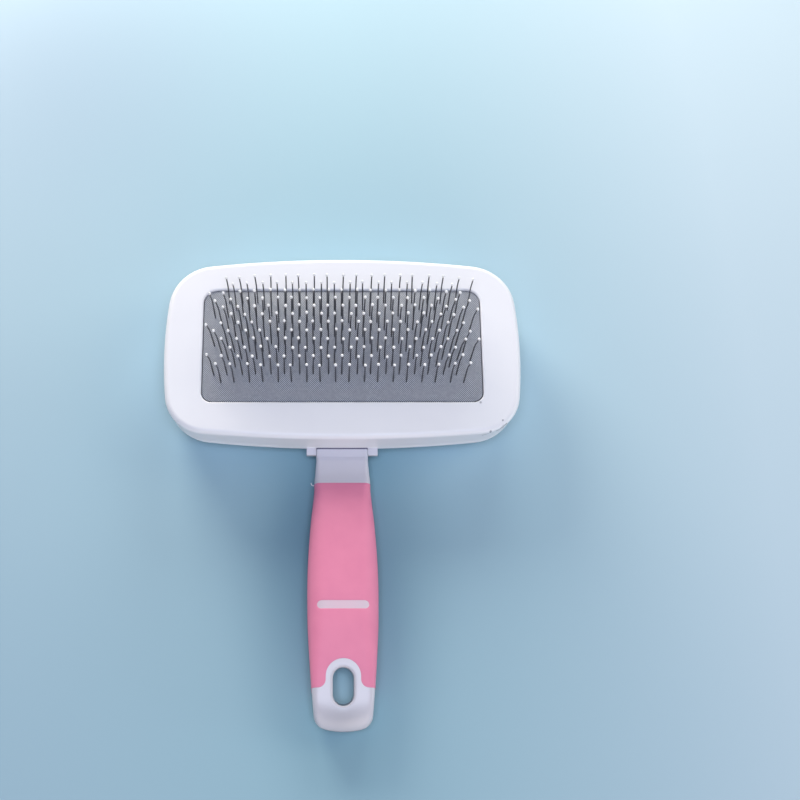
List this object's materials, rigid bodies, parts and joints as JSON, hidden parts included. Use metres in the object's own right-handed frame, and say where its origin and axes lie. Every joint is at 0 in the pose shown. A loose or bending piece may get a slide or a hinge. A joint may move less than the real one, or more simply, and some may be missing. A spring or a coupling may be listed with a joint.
{
  "type": "slicker brush",
  "caption": "Pet slicker brush: wide shallow head with a domed cloth pad of bent, ball-tipped wire pins, and a slim handle with a soft sleeve and a hanging slot.",
  "frame": {"origin": "under the middle of the whole brush, on the surface that it lies on with its pins up", "axes": "+Z the way the pins point, +Y from the handle to the top edge of the head, +X across the head"},
  "size_m": [0.136, 0.1802, 0.0411],
  "materials": {
    "white_housing": "satin moulded ABS, cool white",
    "carrier_plastic": "matt moulded plastic",
    "foam": "closed-cell foam",
    "needle_cloth": "grey woven needle cloth with bright wire pins",
    "tip_resin": "glossy white resin beads",
    "white_handle": "satin moulded ABS, cool white",
    "soft_grip": "satin thermoplastic elastomer, pink"
  },
  "bodies": {
    "root": {"front_frame": "white_housing", "back_shell": "white_housing", "pad_carrier": "carrier_plastic", "foam_cushion": "foam", "pin_field": "needle_cloth", "ball_tips": "tip_resin", "handle_core": "white_handle", "grip_sleeve": "soft_grip"}
  },
  "joints": []
}
